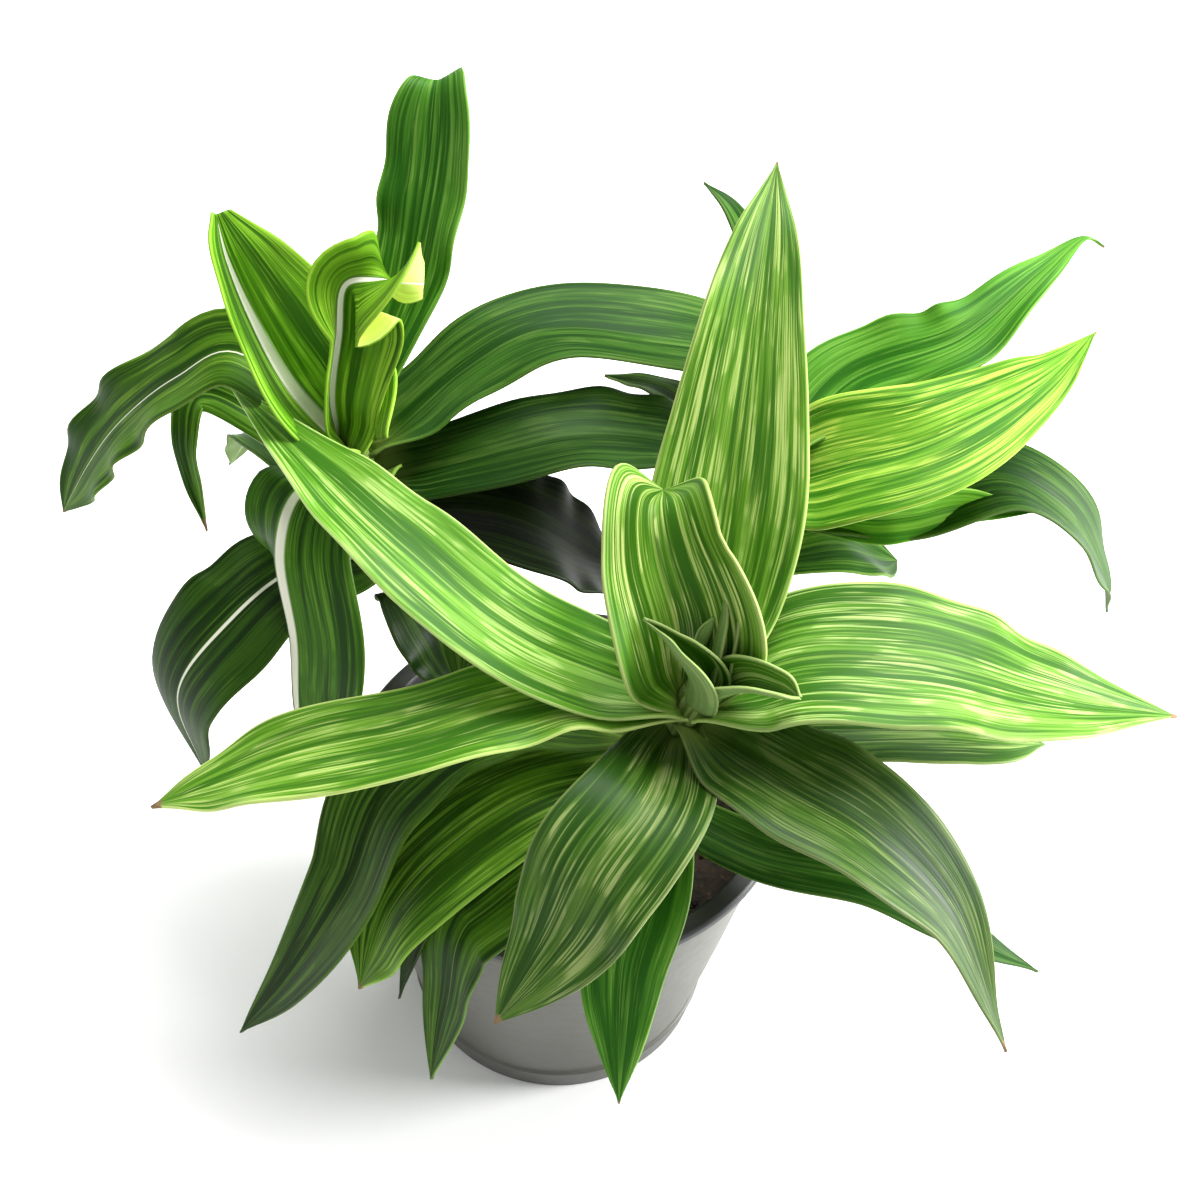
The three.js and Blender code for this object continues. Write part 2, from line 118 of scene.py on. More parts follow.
LEAVES = (
    leaf("front_leaf_upright", 168, [(41, 20, 208), (45, 56, 240), (50, 95, 256)], 42, "spear", 10,
         look="striped", light=1.08, warm=0.2, streaks=0.9, ripple=1.2, dry=0.02),
    leaf("front_leaf_left_long", 160, [(0, -27, 172), (-37, -38, 168), (-71, -40, 156), (-109, -44, 138)],
         29, "oar", 10, look="striped", light=1.3, warm=0.2, streaks=0.75, ripple=1.6, waves=4, dry=0.05),
    leaf("front_leaf_back_left", 165, [(-12, -18, 184), (-45, 2, 196), (-76, 36, 196), (-102, 70, 188)],
         31, "clasp", look="striped", light=1.3, streaks=0.7, dry=0.02),
    leaf("front_leaf_heart", 168, [(28, -18, 190), (22, -8, 205), (20, 3, 213), (23, 15, 208)],
         48, "spoon", 26, -4, "striped", light=1.05, warm=0.2, streaks=1.2, ripple=0.6, waves=2, rib=0.05,
         cup=(20, 40, 60, 30), fold_left=32, cup_left=(10, 15, 30, 30), lean=0.54),
    leaf("front_leaf_young", 172, [(40, -18, 186), (41, -14, 198), (38, -10, 206)],
         20, "spoon", 50, look="striped", light=0.8, ripple=0.3, waves=2, cup=80),
    leaf("front_leaf_curled", 171, [(31, -27, 186), (25, -26, 196), (19, -24, 201)],
         24, "taper", 45, 25, "striped", light=0.8, ripple=0.4, waves=2, cup=70),
    leaf("front_leaf_bud", 171, [(35, -21, 186), (37, -19, 197)],
         8, "spoon", 30, look="striped", light=0.9, ripple=0.1, waves=2),
    leaf("front_leaf_spoon", 170, [(46, -30, 184), (53, -33, 187), (60, -34, 185)],
         20, "spoon", 40, -20, "striped", light=0.95, ripple=0.3, waves=2, cup=60),
    leaf("front_leaf_right_broad", 164, [(61, -17, 180), (90, -20, 185), (124, -22, 178), (165, -13, 160)],
         46, "clasp", 5, look="striped", light=1.05, streaks=1.1, ripple=1.0, dry=0.04),
    leaf("front_leaf_right_drooping", 156, [(60, -43, 160), (81, -55, 157), (103, -65, 138), (122, -85, 104)],
         38, "taper", look="striped", light=0.34, streaks=0.8, ripple=1.0, dry=0.06),
    leaf("front_leaf_near_drooping", 152, [(23, -50, 160), (11, -67, 152), (2, -77, 135), (-14, -89, 112)],
         37, look="striped", light=0.52, streaks=1.2, dry=0.06),
    leaf("front_leaf_plain", 134, [(24, -53, 128), (19, -71, 112), (20, -94, 82)],
         26, light=1.2, waves=2, dry=0.02),
    leaf("front_leaf_right_under", 146, [(86, -17, 153), (114, -14, 149), (134, -9, 140)],
         25, "strap", look="striped", light=0.7, ripple=0.6),
    leaf("front_leaf_right_low", 110, [(56, -36, 118), (86, -44, 120), (112, -53, 110), (135, -56, 98)],
         20, light=0.55, ripple=0.6),
    leaf("front_leaf_torn", 128, [(-6, -29, 134), (-29, -44, 128), (-44, -54, 112), (-54, -64, 84)],
         39, "oar", look="shaded", light=3.2, warm=0.3, ripple=1.2, dry=0.04),
    leaf("front_leaf_left_narrow", 120, [(-15, -53, 116), (-25, -61, 110), (-29, -69, 88), (-33, -79, 62)],
         29, look="shaded", light=1.5, rib=0.05),
    leaf("front_leaf_left_small", 112, [(-28, -44, 116), (-37, -56, 106), (-43, -64, 80)],
         12, look="shaded", light=0.7, ripple=0.4, waves=2),
    leaf("front_leaf_left_low", 140,
         [(-15, -12, 142), (-46, -30, 132), (-57, -50, 112), (-72, -60, 86), (-90, -65, 58)],
         34, look="shaded", light=1.2, ripple=1.2),
    leaf("left_leaf_wavy", 172, [(-96, 71, 198), (-117, 72, 188), (-142, 78, 160), (-166, 86, 116)],
         26, "strap", roll=(0, 60), look="midrib", light=1.5, warm=0.4, ripple=2.2, waves=4, dry=0.03),
    leaf("left_leaf_folded_up", 178, [(-82, 61, 196), (-92, 68, 214), (-99, 76, 228), (-103, 86, 236)],
         52, "stub", 12, 42, "midrib", fold_left=88, light=3.6, warm=0.6, ripple=0.8, waves=2, rib=0.13,
         lean=0.6),
    leaf("left_leaf_folded_over", 182,
         [(-70, 57, 198), (-68, 63, 214), (-66, 69, 227), (-57, 70, 229), (-45, 74, 225)],
         34, "tongue", (14, 14, 14, 10, 5), (-50, -50, -50, -20, 150), "midrib",
         fold_left=(98, 98, 98, 60, 5), light=2.9, warm=0.8, ripple=0.4, waves=2, rib=0.13, lean=0.6),
    leaf("left_leaf_tall", 184, [(-51, 84, 215), (-46, 97, 240), (-44, 112, 262), (-44, 123, 258)],
         26, "blunt", 14, light=1.1, ripple=1.8, waves=2.4),
    leaf("left_leaf_right_arching", 175, [(-33, 77, 193), (-8, 89, 199), (28, 94, 193), (72, 109, 172)],
         36, "oar", roll=(0, -10), light=0.5, ripple=1.0),
    leaf("left_leaf_right_dark", 169, [(-28, 52, 182), (0, 58, 186), (29, 67, 178), (51, 84, 160)],
         32, "oar", light=0.3, ripple=1.0),
    leaf("left_leaf_inner_dark", 161, [(-31, 50, 162), (-11, 49, 156), (14, 59, 130)],
         40, "oar", look="shaded", light=0.14, ripple=1.0),
    leaf("left_leaf_outer_drooping", 148, [(-78, 32, 154), (-96, 14, 150), (-112, 6, 126), (-108, 2, 94)],
         38, "oar", 6, 4, "midrib", light=0.62, ripple=1.2, cup=-12, rib=0.06),
    leaf("left_leaf_near_drooping", 170,
         [(-76, 32, 184), (-80, 16, 177), (-77, 5, 154), (-77, 0, 128), (-75, -3, 102)],
         40, "oar", (12, 0, -70, -88, -75, -60), (10, 10, 6), "midrib", fold_left=12, light=1.25,
         rib=0.12, lean=0.44),
    leaf("left_leaf_twisted", 163, [(-110, 83, 172), (-119, 76, 160), (-116, 71, 126)],
         12, roll=(0, 60), look="shaded", light=2.2, ripple=0.6, dry=0.1),
    leaf("left_leaf_under", 146, [(-83, 31, 142), (-93, 29, 112)], 16, light=0.6, ripple=0.5, waves=2),
    leaf("left_leaf_inner_low", 138, [(-50, 36, 142), (-41, 28, 134), (-33, 23, 112)],
         26, look="shaded", light=0.6),
    leaf("left_leaf_short", 166, [(-92, 87, 168), (-113, 92, 158)], 12, roll=-40, look="shaded", light=0.6,
         waves=2),
    leaf("left_leaf_rear_low", 152, [(-62, 92, 152), (-64, 118, 128), (-62, 132, 96)],
         28, look="midrib", light=0.9, ripple=1.0),
    leaf("left_leaf_rear_outer", 150, [(-98, 96, 146), (-118, 116, 112)],
         24, look="midrib", light=0.9, ripple=1.0),
    leaf("back_leaf_upper_right", 172,
         [(79, 89, 185), (109, 93, 200), (133, 114, 209), (148, 132, 209), (156, 134, 205)],
         30, "shield", light=1.5, ripple=1.4, waves=4, streaks=0.6, dry=0.02),
    leaf("back_leaf_pale", 166, [(75, 58, 180), (102, 61, 189), (132, 81, 195), (153, 109, 192)],
         40, "shield", light=1.9, warm=0.9, ripple=1.0, streaks=1.6, dry=0.02),
    leaf("back_leaf_right_drooping", 158,
         [(96, 58, 165), (124, 66, 170), (147, 69, 154), (164, 70, 128), (169, 69, 112)],
         31, "oar", roll=(0, -25), light=0.42, ripple=1.4),
    leaf("back_leaf_edge_on", 160, [(82, 49, 168), (96, 49, 170), (112, 54, 170), (134, 59, 164)],
         15, roll=-60, light=1.7, warm=0.5, ripple=0.6, streaks=0.3),
    leaf("back_leaf_olive", 142, [(78, 61, 144), (100, 71, 128)], 28, "oar", light=1.3, warm=0.3, ripple=0.6,
         waves=2),
    leaf("back_leaf_curled_tip", 178, [(51, 81, 220), (40, 92, 240), (31, 101, 244)],
         14, light=0.6, ripple=0.5, waves=2),
    leaf("back_leaf_left_dark", 170, [(50, 110, 190), (31, 117, 188)],
         16, look="shaded", ripple=0.5, waves=2),
    leaf("back_leaf_left_low", 160, [(29, 94, 170), (6, 115, 160)], 14, look="shaded", ripple=0.5, waves=2),
    leaf("back_leaf_rear_left", 148, [(44, 104, 152), (30, 128, 132), (20, 140, 104)], 28, light=0.7),
    leaf("back_leaf_rear_right", 145, [(78, 104, 148), (92, 132, 126), (96, 146, 98)], 28, light=0.7),
)

LEAF_THICKNESS = 0.8
LEAF_ACROSS = 28  # grid cells across a blade
LEAF_ALONG = 64  # grid cells along a blade
SEED_STEP = 0.618  # sets each leaf's ripples and stripes apart from the next one's


def deselect_all():
    bpy.ops.object.select_all(action="DESELECT")


def linear(red, green, blue):
    """A colour given as display values from 0 to 255, as linear red, green and blue."""
    parts = [value / 255 for value in (red, green, blue)]
    return tuple(v / 12.92 if v <= 0.04045 else ((v + 0.055) / 1.055) ** 2.4 for v in parts)


# ---- Shader values ----


class Value:
    """A shader value. Arithmetic on it adds Math nodes to its material."""

    def __init__(self, finish, socket):
        self.finish = finish
        self.socket = socket

    def math(self, operation, *others):
        inputs = dict(enumerate((self, *others)))
        return self.finish.add("ShaderNodeMath", {"operation": operation}, inputs)

    def reflected(self, operation, other):
        return self.finish.add("ShaderNodeMath", {"operation": operation}, {0: other, 1: self})

    def __add__(self, other):
        return self.math("ADD", other)

    __radd__ = __add__

    def __mul__(self, other):
        return self.math("MULTIPLY", other)

    __rmul__ = __mul__

    def __sub__(self, other):
        return self.math("SUBTRACT", other)

    def __rsub__(self, other):
        return self.reflected("SUBTRACT", other)

    def __abs__(self):
        return self.math("ABSOLUTE")

    def ramp(self, low, high):
        """0 below low and 1 above high, with a smooth rise between them."""
        settings = {"interpolation_type": "SMOOTHSTEP"}
        inputs = {"Value": self, "From Min": low, "From Max": high}
        return self.finish.add("ShaderNodeMapRange", settings, inputs)


class Finish:
    """A material that is built node by node around one Principled shader."""

    def __init__(self, name):
        self.material = bpy.data.materials.new(name)
        self.material.use_nodes = True
        self.tree = self.material.node_tree
        self.shader = self.tree.nodes["Principled BSDF"]

    def add(self, kind, settings=None, inputs=None, output=0):
        """Adds a node: its settings first, then the values or links of its sockets."""
        node = self.tree.nodes.new(kind)
        for key, value in (settings or {}).items():
            setattr(node, key, value)
        for key, value in (inputs or {}).items():
            self.plug(node.inputs[key], value)
        return Value(self, node.outputs[output])

    def plug(self, socket, value):
        if isinstance(value, Value):
            self.tree.links.new(value.socket, socket)
        elif isinstance(value, tuple) and len(value) == 3 and socket.type == "RGBA":
            socket.default_value = (*value, 1)
        else:
            socket.default_value = value

    def mix(self, factor, first, second, blend="MIX"):
        """Mixes two colours."""
        settings = {"data_type": "RGBA", "blend_type": blend, "clamp_factor": True}
        node = self.tree.nodes.new("ShaderNodeMix")
        for key, value in settings.items():
            setattr(node, key, value)
        self.plug(node.inputs["Factor"], factor)
        self.plug(node.inputs[6], first)
        self.plug(node.inputs[7], second)
        return Value(self, node.outputs[2])

    def noise(self, vector, scale, detail=2.0, roughness=0.5):
        inputs = {"Vector": vector, "Scale": scale, "Detail": detail, "Roughness": roughness}
        return self.add("ShaderNodeTexNoise", None, inputs)

    def vector(self, x, y, z):
        return self.add("ShaderNodeCombineXYZ", None, {0: x, 1: y, 2: z})

    def parts(self, vector):
        """The three numbers of a vector."""
        node = self.tree.nodes.new("ShaderNodeSeparateXYZ")
        self.plug(node.inputs[0], vector)
        return [Value(self, output) for output in node.outputs]

    def place(self):
        """The piece's own coordinates, in metres."""
        return self.add("ShaderNodeTexCoord", output=3)

    def attribute(self, name, output=2):
        return self.add("ShaderNodeAttribute", {"attribute_name": name}, output=output)

    def bump(self, height, strength, distance):
        inputs = {"Height": height, "Strength": strength, "Distance": distance}
        return self.add("ShaderNodeBump", None, inputs)

    def finish(self, **sockets):
        for name, value in sockets.items():
            self.plug(self.shader.inputs[name.replace("_", " ").title()], value)
        return self.material


# ---- Finishes ----

PALETTES = {
    # dark stripes, blade, pale stripes, midrib, and how much of the blade the pale stripes take
    "striped": ((44, 92, 8), (86, 138, 28), (178, 200, 120), (140, 172, 74), 0.80),
    "midrib": ((22, 54, 5), (52, 94, 14), (96, 136, 44), (232, 233, 212), 0.45),
    "plain": ((30, 80, 10), (66, 120, 30), (122, 160, 70), (108, 150, 62), 0.50),
    # shaded is painted shade: a darker copy of the leaf colours for the low leaves that lie in the shade of
    # the crown.
    "shaded": ((18, 42, 4), (48, 80, 14), (92, 122, 48), (104, 130, 62), 0.40),
}
UNDERSIDE = (138, 166, 98)
WITHERED = (134, 110, 78)
LEAF_BASE = (150, 172, 82)
HAIR_PITCH, FINE_PITCH, BROAD_PITCH = 34, 15, 5.0  # stripes across half a blade, by their size
RIB_SHARE = 0.4  # how much a faint midrib shows
WHITE_RIB_SHARE = 0.95  # how much a white one does
STRIPED_SPECULAR, PLAIN_SPECULAR = 0.2, 0.1


def leaf_finish(kind, underside):
    """A leaf's finish: broken lengthwise stripes that follow the blade, midrib, margin and dry tip."""
    dark, blade, pale, rib, pale_share = PALETTES[kind]
    finish = Finish(f"leaf_{kind}_{'under' if underside else 'upper'}")
    across, along, seed = finish.parts(finish.attribute("blade", output=1))
    from_base, breadth, streaks = finish.parts(finish.attribute("part", output=1))
    tint = finish.attribute("tint", output=1)
    rib_width = finish.attribute("rib")
    wither = finish.attribute("wither")

    drift = finish.noise(finish.vector(across * 1.5, along * 2.5, seed * 9), 1.0) - 0.5
    lane = (across + drift * 0.06) * breadth
    hair = finish.noise(finish.vector(lane * HAIR_PITCH + seed * 31, along * 3.2, seed * 5), 1.0, 2.0, 0.6)
    fine = finish.noise(finish.vector(lane * FINE_PITCH + seed * 23, along * 2.0, seed * 5), 1.0, 2.0, 0.6)
    broad = finish.noise(finish.vector(lane * BROAD_PITCH + seed * 17, along * 1.1, seed * 3), 1.0, 1.0)
    patch = finish.noise(finish.vector(across * 2.2 + seed * 4, along * 4.5, seed * 11), 1.0, 2.0, 0.6)
    cloud = finish.noise(finish.vector(across * 1.2, along * 3.0 + 5, seed * 7), 1.0, 3.0, 0.6)

    colour = finish.mix((fine * 0.5 + broad * 0.5).ramp(0.40, 0.58), linear(*dark), linear(*blade))
    pale_lines = (hair * 0.45 + fine * 0.35 + broad * 0.2).ramp(0.48, 0.59)
    pale_mask = pale_lines * (0.25 + patch.ramp(0.44, 0.53) * 0.75) * streaks * pale_share
    colour = finish.mix(pale_mask, colour, linear(*pale))
    colour = finish.mix(hair.ramp(0.50, 0.34) * 0.35, colour, linear(*dark))
    rib_mask = 1 - abs(across + drift * 0.02).ramp(rib_width * 0.55, rib_width)
    if kind != "midrib":
        colour = finish.mix(rib_mask * RIB_SHARE, colour, linear(*rib))
    margin = abs(across).ramp(0.955, 0.99) * (0.6 if kind == "striped" else 0.35)
    colour = finish.mix(margin, colour, linear(*pale))
    if underside:
        colour = finish.mix(0.6, colour, linear(*UNDERSIDE))
    tone = 0.86 + cloud * 0.28
    # The tint attribute carries the leaf's light figure, so this multiply paints light and shade onto the
    # leaf as well as its own tone.
    colour = finish.mix(1.0, colour, tint, "MULTIPLY")
    colour = finish.mix(1.0, colour, finish.vector(tone, tone, tone), "MULTIPLY")
    if kind == "midrib":
        colour = finish.mix(rib_mask * WHITE_RIB_SHARE, colour, linear(*rib))
    colour = finish.mix((1 - from_base.ramp(0.0, 0.10)) * 0.35, colour, linear(*LEAF_BASE))
    speckle = finish.noise(finish.place(), 900.0, 2.0)
    dry = (wither + (speckle - 0.5) * 0.5).ramp(0.42, 0.62)
    colour = finish.mix(dry, colour, linear(*WITHERED))

    relief = hair * 0.5 + fine * 0.6 + speckle * 0.12
    gloss = 0.38 + fine * 0.16 + dry * 0.3
    if underside:
        gloss = gloss + 0.15
    specular = STRIPED_SPECULAR if kind == "striped" else PLAIN_SPECULAR
    finish.shader.inputs["Specular IOR Level"].default_value = specular
    return finish.finish(base_color=colour, roughness=gloss, normal=finish.bump(relief, 0.4, 0.3 * MM))


def plastic_finish(name, colour, scuff, roughness, mottle, foot_band=0):
    """Moulded plastic with faint cloudy mottling, dust and fine rubbed scratches, and with a foot band,
    painted shade below it.
    """
    finish = Finish(name)
    place = finish.place()
    cloud = finish.noise(place, 22.0, 4.0)
    dust = finish.noise(place, 260.0, 3.0, 0.7)
    x, y, z = finish.parts(place)
    hoops = finish.noise(finish.vector(x * 12, y * 12, z * 420), 1.0, 2.0)
    tint = finish.mix(cloud.ramp(0.35, 0.65) * mottle, linear(*colour), linear(*scuff))
    tint = finish.mix(dust.ramp(0.62, 0.72) * mottle, tint, linear(*scuff))
    # Painted shade: below its foot band the pot is darkened by 35 percent, standing in for the shade at its
    # foot.
    if foot_band:
        shade = 1 - z.ramp((foot_band + 1.0) * MM, foot_band * MM) * 0.35
        tint = finish.mix(1.0, tint, finish.vector(shade, shade, shade * 0.97), "MULTIPLY")
    gloss = roughness + dust * 0.12 + hoops * 0.06
    return finish.finish(
        base_color=tint, roughness=gloss, normal=finish.bump(hoops * 0.5 + dust * 0.3, 0.15, 0.2 * MM)
    )


def soil_finish():
    finish = Finish("potting_soil")
    place = finish.place()
    grain = finish.noise(place, 420.0, 5.0, 0.65)
    clod = finish.noise(place, 90.0, 3.0)
    colour = finish.mix(clod.ramp(0.35, 0.65), linear(22, 16, 11), linear(52, 38, 26))
    colour = finish.mix(grain.ramp(0.55, 0.75), colour, linear(92, 70, 48))
    return finish.finish(
        base_color=colour, roughness=0.95 - clod * 0.15, normal=finish.bump(grain + clod, 0.8, 1.2 * MM)
    )


def stem_finish():
    finish = Finish("stem_sheath")
    around, along, seed = finish.parts(finish.attribute("blade", output=1))
    fibre = finish.noise(finish.vector(around * 9, along * 2.0, seed), 1.0, 3.0)
    colour = finish.mix(fibre.ramp(0.35, 0.65), linear(104, 138, 46), linear(176, 196, 118))
    colour = finish.mix(1 - along.ramp(0.05, 0.35), colour, linear(118, 104, 62))
    return finish.finish(
        base_color=colour, roughness=0.5 + fibre * 0.1, normal=finish.bump(fibre, 0.3, 0.3 * MM)
    )


# ---- Meshes ----


def hand_over(piece, name, node, material):
    """Names a finished piece, gives it its finish and lets it stand for its solid."""
    piece.name = name
    piece.data.name = name
    if material is not None:
        piece.data.materials.append(material)
    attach(piece, ROOT)
    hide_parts(node)


def apply_modifiers(piece):
    bpy.context.view_layer.objects.active = piece
    for modifier in list(piece.modifiers):
        bpy.ops.object.modifier_apply(modifier=modifier.name)


def settle(piece):
    """Leaves the object at the origin, unturned, with its place in its mesh."""
    deselect_all()
    piece.select_set(True)
    bpy.context.view_layer.objects.active = piece
    bpy.ops.object.transform_apply(location=True, rotation=True, scale=True)


def turned(profile, centre_x, segments):
    """A disc raised ring by ring through (radius, height) points, in millimetres: a closed turned body."""
    deselect_all()
    radius, height = profile[0]
    bpy.ops.mesh.primitive_circle_add(
        vertices=segments, radius=radius * MM, fill_type="NGON", location=(centre_x * MM, 0, height * MM)
    )
    piece = bpy.context.object
    bpy.ops.object.mode_set(mode="EDIT")
    bpy.ops.mesh.select_all(action="SELECT")
    for next_radius, next_height in profile[1:]:
        rise = (0, 0, (next_height - height) * MM)
        bpy.ops.mesh.extrude_region_move(TRANSFORM_OT_translate={"value": rise})
        scale = next_radius / radius
        bpy.ops.transform.resize(
            value=(scale, scale, 1), center_override=(centre_x * MM, 0, next_height * MM)
        )
        radius, height = next_radius, next_height
    bpy.ops.mesh.select_all(action="SELECT")
    bpy.ops.mesh.normals_make_consistent(inside=False)
    bpy.ops.object.mode_set(mode="OBJECT")
    settle(piece)
    return piece


def round_edges(piece, width, segments=3):
    bevel = piece.modifiers.new("rounded edges", "BEVEL")
    bevel.width = width * MM
    bevel.segments = segments
    bevel.limit_method = "ANGLE"
    bevel.angle_limit = math.radians(25)
    apply_modifiers(piece)
    deselect_all()
    piece.select_set(True)
    bpy.ops.object.shade_smooth_by_angle(angle=math.radians(40))


# ---- Leaves ----


def stem_point(shoot, height):
    foot, crown = Vector(shoot["foot"]), Vector(shoot["crown"])
    return foot.lerp(crown, (height - foot.z) / (crown.z - foot.z))


def spline(points, steps):
    """Points of a Catmull-Rom curve through the given ones, evenly spread by its own parameter."""
    points = np.array(points, float)
    padded = np.vstack([2 * points[0] - points[1], points, 2 * points[-1] - points[-2]])
    spans = len(points) - 1
    t = np.linspace(0, spans, steps)
    i = np.minimum(t.astype(int), spans - 1)
    u = (t - i).reshape(-1, *([1] * (points.ndim - 1)))
    p0, p1, p2, p3 = (padded[i + k] for k in range(4))
    return 0.5 * (
        2 * p1 + (p2 - p0) * u + (2 * p0 - 5 * p1 + 4 * p2 - p3) * u**2 + (3 * p1 - p0 - 3 * p2 + p3) * u**3
    )


def even(points, count):
    """The same curve with its points evenly spaced along its length, and that length."""
    reach = np.concatenate([[0], np.cumsum(np.linalg.norm(np.diff(points, axis=0), axis=1))])
    spots = np.linspace(0, reach[-1], count)
    return np.stack([np.interp(spots, reach, points[:, k]) for k in range(3)], axis=1), reach[-1]


def midrib_frames(leaf, count):
    """Midrib points with their side and up vectors. The side starts level and is carried along."""
    shoot = SHOOTS[leaf["shoot"]]
    centre = stem_point(shoot, leaf["height"])
    outward = (Vector(leaf["through"][0]) - centre) * Vector((1, 1, 0))
    base = centre + outward.normalized() * (shoot["radius"] * STEM_TAPER)
    rib, length = even(spline([tuple(base), *leaf["through"]], 400), count)
    tangents = np.gradient(rib, axis=0)
    tangents /= np.linalg.norm(tangents, axis=1)[:, None]
    chord = rib[-1] - rib[0]
    side = np.array([chord[1], -chord[0], 0])
    sides, ups = np.zeros_like(rib), np.zeros_like(rib)
    rolls = np.radians(spread(leaf["roll"], np.linspace(0, 1, count)))
    for i, tangent in enumerate(tangents):
        side = side - side.dot(tangent) * tangent
        side /= np.linalg.norm(side)
        up = np.cross(side, tangent)
        turn = rolls[i]
        sides[i] = side * math.cos(turn) + up * math.sin(turn)
        ups[i] = up * math.cos(turn) - side * math.sin(turn)
    return rib, sides, ups, length


def smoothstep(low, high, value):
    part = np.clip((value - low) / (high - low), 0, 1)
    return part * part * (3 - 2 * part)


SHEATH_END = 0.14  # part of a leaf that still wraps round the stem
SHEATH_FOLD = 34  # degrees that its base is folded more than its blade
TIP_WIDTH = 0.25  # half width of a tip, so that it closes without a pole
HEM_START = 0.58  # part of a half blade that a turned hem leaves as it is
GROOVE = 0.12  # part of a half blade over which the fold at the midrib is rounded


def spread(figure, along):
    """A figure along a leaf: one number, or several that it takes evenly from base to tip."""
    values = np.atleast_1d(figure)
    return np.interp(along * (len(values) - 1), np.arange(len(values)), values)


def half_section(fold, cup, hem, steps):
    """Out and up of a half blade of length 1, from its midrib to its margin, at even steps."""
    reach = np.linspace(0, 1, steps + 1)
    middle = (reach[1:] + reach[:-1]) / 2
    turned_over = hem[:, None] * smoothstep(HEM_START, 1, middle)
    folded = fold[:, None] * np.clip(middle / GROOVE, 0, 1)
    angle = np.radians(folded + cup[:, None] * middle**1.5 + turned_over)
    zero = np.zeros((len(fold), 1))
    out = np.hstack([zero, np.cumsum(np.cos(angle), axis=1)]) / steps
    up = np.hstack([zero, np.cumsum(np.sin(angle), axis=1)]) / steps
    return np.array([out, up])


def blade_points(leaf, columns, rows, seed):
    """Where each point of a blade lies, row by row from the base and from left to right."""
    along = np.linspace(0, 1, rows)
    across = np.linspace(-1, 1, columns)
    rib, sides, ups, length = midrib_frames(leaf, rows)
    outline = spline(np.array(OUTLINES[leaf["outline"]])[:, None], rows)[:, 0]
    half = np.maximum(outline * leaf["width"] / 2, TIP_WIDTH)[:, None]
    sheath = SHEATH_FOLD * (1 - smoothstep(0, SHEATH_END, along))
    steps = (columns - 1) // 2
    fold, cup, hem = (spread(leaf[key], along) for key in ("fold", "cup", "hem"))
    fold_left, cup_left = (spread(leaf[key], along) for key in ("fold_left", "cup_left"))
    right = half_section(fold + sheath, cup, hem, steps) * 2 * leaf["lean"]
    left = half_section(fold_left + sheath, cup_left, hem * 0, steps) * 2 * (1 - leaf["lean"])
    out = np.hstack([-left[0][:, :0:-1], right[0]]) * half
    lift = np.hstack([left[1][:, :0:-1], right[1]]) * half

    body = (np.sin(np.pi * along) ** 0.6)[:, None]
    phase = 2 * np.pi * (leaf["waves"] * along[:, None] + seed + 0.35 * np.sin(7 * along[:, None] + 9 * seed))
    swing = np.where(across > 0, np.sin(phase), np.sin(phase * 1.13 + 2.1))
    lift += leaf["ripple"] * np.abs(across) ** 2.2 * swing * body
    places = [Vector((a * 0.9 + seed * 7, b * 3.2, seed * 5)) for b in along for a in across]
    lift += np.array([noise.noise(place) for place in places]).reshape(rows, columns) * 1.6 * body
    lift += 0.07 * np.cos(across * np.pi * 11 + seed * 5) * np.clip(half / 8, 0, 1)
    points = rib[:, None] + sides[:, None] * out[..., None] + ups[:, None] * lift[..., None]
    return points.reshape(-1, 3), length


def put_attribute(mesh, name, values):
    """Stores a number for each point, or three numbers for each."""
    kind, field = ("FLOAT", "value") if values.ndim == 1 else ("FLOAT_VECTOR", "vector")
    mesh.attributes.new(name, kind, "POINT").data.foreach_set(field, values.ravel())


def make_leaf(index, leaf, finishes, thickness):
    deselect_all()
    bpy.ops.mesh.primitive_grid_add(x_subdivisions=LEAF_ACROSS, y_subdivisions=LEAF_ALONG, size=2)
    piece = bpy.context.object
    mesh = piece.data
    seed = (index * SEED_STEP) % 1
    points, length = blade_points(leaf, LEAF_ACROSS + 1, LEAF_ALONG + 1, seed)
    mesh.vertices.foreach_set("co", (points * MM).ravel())

    across = np.tile(np.linspace(-1, 1, LEAF_ACROSS + 1), LEAF_ALONG + 1)
    along = np.repeat(np.linspace(0, 1, LEAF_ALONG + 1), LEAF_ACROSS + 1)
    put_attribute(mesh, "blade", np.stack([across, along * length / 100, np.full_like(along, seed)], axis=1))
    breadth, streaks = along * 0 + leaf["width"] / 40, along * 0 + leaf["streaks"]
    put_attribute(mesh, "part", np.stack([along, breadth, streaks], axis=1))
    # Painted light and shade: the light figure scales the whole leaf's colour, and warm tilts it to yellow.
    tint = leaf["light"] * np.array([1 + 0.4 * leaf["warm"], 1, 1 - 0.15 * leaf["warm"]])
    put_attribute(mesh, "tint", np.tile(tint, (len(along), 1)))
    put_attribute(mesh, "rib", leaf["rib"] * (1 - 0.7 * along))
    put_attribute(mesh, "wither", smoothstep(1 - leaf["dry"], 1, along) * 0.9 if leaf["dry"] else along * 0)

    for material in finishes[leaf["look"]]:
        mesh.materials.append(material)
    shell = piece.modifiers.new("thickness", "SOLIDIFY")
    shell.thickness = thickness * MM
    shell.offset = 0
    shell.use_even_offset = False
    shell.material_offset = 1
    apply_modifiers(piece)
    deselect_all()
    piece.select_set(True)
    bpy.ops.object.shade_smooth()
    name = leaf["node"].replace("_leaf_", "_blade_")
    hand_over(piece, name, leaf["node"], None)


FINISHES = {}


def leaf_finishes():
    if "leaves" not in FINISHES:
        FINISHES["leaves"] = {
            kind: (leaf_finish(kind, False), leaf_finish(kind, True)) for kind in PALETTES
        }
    return FINISHES["leaves"]


def make_leaves(shoot, thickness):
    for index, figures in enumerate(LEAVES):
        if figures["shoot"] == shoot:
            make_leaf(index, figures, leaf_finishes(), thickness)


# ---- Stems ----

STEM_RINGS = 60
STEM_JOINT = 9.0  # mm between the joints of a stem


